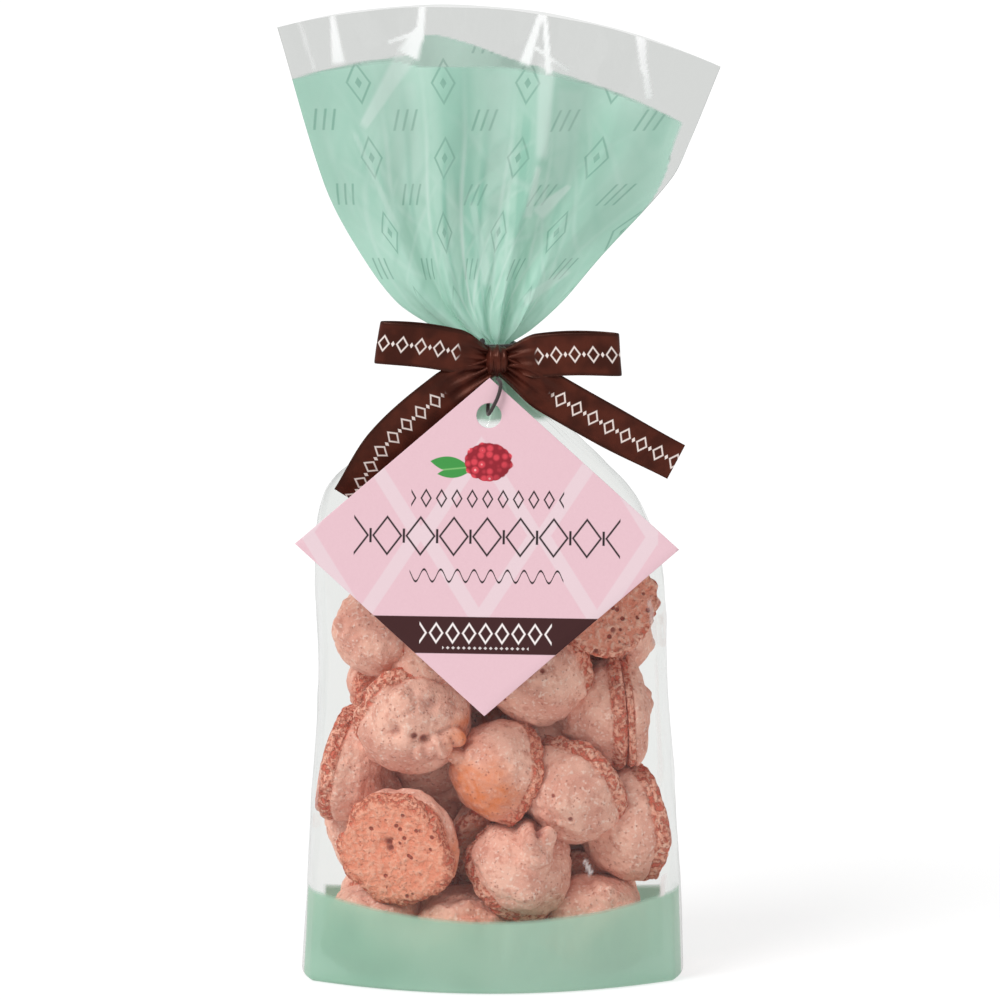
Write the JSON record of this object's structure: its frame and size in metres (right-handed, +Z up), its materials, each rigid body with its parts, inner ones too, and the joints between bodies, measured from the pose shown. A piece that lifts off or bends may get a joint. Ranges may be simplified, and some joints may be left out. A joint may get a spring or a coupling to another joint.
{
  "type": "gift bag of french macarons",
  "caption": "Clear film gift bag filled with pink almond macarons, gathered at the neck under a flared fan, tied with a satin bow and hung with a lozenge card tag.",
  "frame": {"origin": "centre of the flat base that the bag stands on", "axes": "+Z up along the bag's height, the tag and bow face -Y, +X to the right as seen from the front"},
  "size_m": [0.1241, 0.0678, 0.2813],
  "materials": {
    "film": "crisp clear film with a translucent mint print",
    "macaron": "dry baked almond crust, pink, matt",
    "satin": "dark brown satin",
    "card": "matt pink card",
    "cord": "fine dark elastic cord"
  },
  "bodies": {
    "root": {"bag": "film", "ribbon_bow": "satin", "neck_tie": "cord", "tag_cord": "cord", "tag": "card"}
  },
  "joints": []
}
